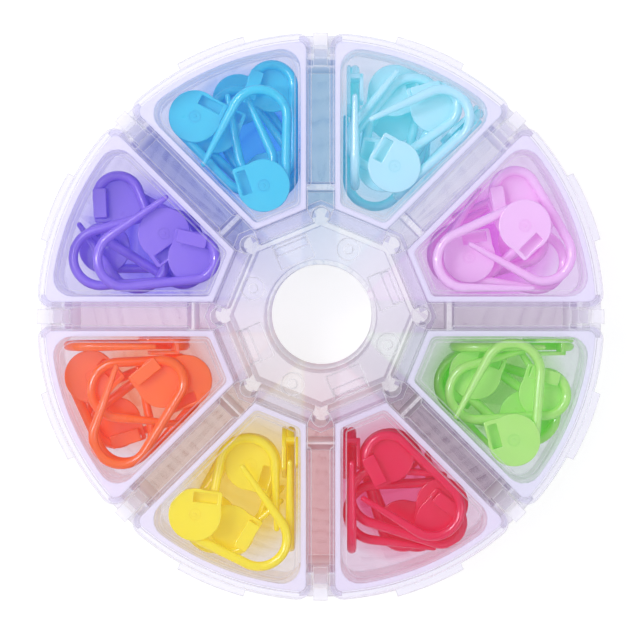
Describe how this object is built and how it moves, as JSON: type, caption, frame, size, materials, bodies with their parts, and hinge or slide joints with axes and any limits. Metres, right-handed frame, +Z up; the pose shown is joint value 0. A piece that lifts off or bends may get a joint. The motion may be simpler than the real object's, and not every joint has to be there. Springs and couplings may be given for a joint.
{
  "type": "stitch marker set",
  "caption": "Locking stitch markers with spring-wire clasps, sorted by colour in the wedge pockets of a round flip-lid case with a hole through its hub",
  "frame": {"origin": "middle of the case's underside, on the axis of the centre hole", "axes": "+Z up along the axis of the centre hole; +X through the channel between the green and pink pockets; +Y through the channel between the light blue and blue pockets"},
  "size_m": [0.105, 0.105, 0.021],
  "materials": {
    "frosted_case": "frosted",
    "clear_lid": "clear, smooth",
    "pink_plastic": "satin",
    "light_blue_plastic": "satin",
    "blue_plastic": "satin",
    "purple_plastic": "satin",
    "orange_plastic": "satin",
    "yellow_plastic": "satin",
    "red_plastic": "satin",
    "green_plastic": "satin"
  },
  "bodies": {
    "case": {"tray": "frosted_case", "marker_pink_1": "pink_plastic", "marker_pink_2": "pink_plastic", "marker_pink_3": "pink_plastic", "marker_pink_4": "pink_plastic", "markers_pink_low": "pink_plastic", "marker_light_blue_1": "light_blue_plastic", "marker_light_blue_2": "light_blue_plastic", "marker_light_blue_3": "light_blue_plastic", "marker_light_blue_4": "light_blue_plastic", "markers_light_blue_low": "light_blue_plastic", "marker_blue_1": "blue_plastic", "marker_blue_2": "blue_plastic", "marker_blue_3": "blue_plastic", "marker_blue_4": "blue_plastic", "markers_blue_low": "blue_plastic", "marker_purple_1": "purple_plastic", "marker_purple_2": "purple_plastic", "marker_purple_3": "purple_plastic", "marker_purple_4": "purple_plastic", "markers_purple_low": "purple_plastic", "marker_orange_1": "orange_plastic", "marker_orange_2": "orange_plastic", "marker_orange_3": "orange_plastic", "marker_orange_4": "orange_plastic", "markers_orange_low": "orange_plastic", "marker_yellow_1": "yellow_plastic", "marker_yellow_2": "yellow_plastic", "marker_yellow_3": "yellow_plastic", "marker_yellow_4": "yellow_plastic", "markers_yellow_low": "yellow_plastic", "marker_red_1": "red_plastic", "marker_red_2": "red_plastic", "marker_red_3": "red_plastic", "marker_red_4": "red_plastic", "markers_red_low": "red_plastic", "marker_green_1": "green_plastic", "marker_green_2": "green_plastic", "marker_green_3": "green_plastic", "marker_green_4": "green_plastic", "markers_green_low": "green_plastic"},
    "lid_pink": {"lid_pink": "clear_lid"},
    "clasp_pink": {"clasp_pink_1": "pink_plastic"},
    "lid_light_blue": {"lid_light_blue": "clear_lid"},
    "clasp_light_blue": {"clasp_light_blue_1": "light_blue_plastic"},
    "lid_blue": {"lid_blue": "clear_lid"},
    "clasp_blue": {"clasp_blue_1": "blue_plastic"},
    "lid_purple": {"lid_purple": "clear_lid"},
    "clasp_purple": {"clasp_purple_1": "purple_plastic"},
    "lid_orange": {"lid_orange": "clear_lid"},
    "clasp_orange": {"clasp_orange_1": "orange_plastic"},
    "lid_yellow": {"lid_yellow": "clear_lid"},
    "clasp_yellow": {"clasp_yellow_1": "yellow_plastic"},
    "lid_red": {"lid_red": "clear_lid"},
    "clasp_red": {"clasp_red_1": "red_plastic"},
    "lid_green": {"lid_green": "clear_lid"},
    "clasp_green": {"clasp_green_1": "green_plastic"}
  },
  "joints": [
    {"name": "lid_pink_hinge", "type": "hinge", "parent": "case", "child": "lid_pink", "pos_m": [0.01663, 0.00689, 0.0199], "axis": [0.3827, -0.9239, 0], "range_deg": [0, 85]},
    {"name": "clasp_pink_bend", "type": "hinge", "parent": "case", "child": "clasp_pink", "pos_m": [0.02217, 0.00829, 0.01704], "axis": [0, 0, 1], "range_deg": [0, 26.6], "stiffness_Nm_per_rad": 0.03},
    {"name": "lid_light_blue_hinge", "type": "hinge", "parent": "case", "child": "lid_light_blue", "pos_m": [0.00689, 0.01663, 0.0199], "axis": [-0.9239, 0.3827, 0], "range_deg": [-85, 0]},
    {"name": "clasp_light_blue_bend", "type": "hinge", "parent": "case", "child": "clasp_light_blue", "pos_m": [0.02654, 0.04041, 0.01704], "axis": [0, 0, 1], "range_deg": [0, 20.1], "stiffness_Nm_per_rad": 0.03},
    {"name": "lid_blue_hinge", "type": "hinge", "parent": "case", "child": "lid_blue", "pos_m": [-0.00689, 0.01663, 0.0199], "axis": [0.9239, 0.3827, 0], "range_deg": [0, 85]},
    {"name": "clasp_blue_bend", "type": "hinge", "parent": "case", "child": "clasp_blue", "pos_m": [-0.01133, 0.04222, 0.01704], "axis": [0, 0, 1], "range_deg": [0, 27.3], "stiffness_Nm_per_rad": 0.03},
    {"name": "lid_purple_hinge", "type": "hinge", "parent": "case", "child": "lid_purple", "pos_m": [-0.01663, 0.00689, 0.0199], "axis": [-0.3827, -0.9239, 0], "range_deg": [-85, 0]},
    {"name": "clasp_purple_bend", "type": "hinge", "parent": "case", "child": "clasp_purple", "pos_m": [-0.04156, 0.01004, 0.01704], "axis": [0, 0, -1], "range_deg": [0, 28.8], "stiffness_Nm_per_rad": 0.03},
    {"name": "lid_orange_hinge", "type": "hinge", "parent": "case", "child": "lid_orange", "pos_m": [-0.01663, -0.00689, 0.0199], "axis": [-0.3827, 0.9239, 0], "range_deg": [0, 85]},
    {"name": "clasp_orange_bend", "type": "hinge", "parent": "case", "child": "clasp_orange", "pos_m": [-0.03994, -0.02688, 0.01704], "axis": [0, 0, -1], "range_deg": [0, 17.3], "stiffness_Nm_per_rad": 0.03},
    {"name": "lid_yellow_hinge", "type": "hinge", "parent": "case", "child": "lid_yellow", "pos_m": [-0.00689, -0.01663, 0.0199], "axis": [0.9239, -0.3827, 0], "range_deg": [-85, 0]},
    {"name": "clasp_yellow_bend", "type": "hinge", "parent": "case", "child": "clasp_yellow", "pos_m": [-0.00683, -0.04377, 0.01704], "axis": [0, 0, 1], "range_deg": [0, 28.8], "stiffness_Nm_per_rad": 0.03},
    {"name": "lid_red_hinge", "type": "hinge", "parent": "case", "child": "lid_red", "pos_m": [0.00689, -0.01663, 0.0199], "axis": [-0.9239, -0.3827, 0], "range_deg": [0, 85]},
    {"name": "clasp_red_bend", "type": "hinge", "parent": "case", "child": "clasp_red", "pos_m": [0.02464, -0.03941, 0.01704], "axis": [0, 0, -1], "range_deg": [0, 17.3], "stiffness_Nm_per_rad": 0.03},
    {"name": "lid_green_hinge", "type": "hinge", "parent": "case", "child": "lid_green", "pos_m": [0.01663, -0.00689, 0.0199], "axis": [0.3827, 0.9239, 0], "range_deg": [-85, 0]},
    {"name": "clasp_green_bend", "type": "hinge", "parent": "case", "child": "clasp_green", "pos_m": [0.03614, -0.00506, 0.01704], "axis": [0, 0, 1], "range_deg": [0, 25.8], "stiffness_Nm_per_rad": 0.03}
  ]
}
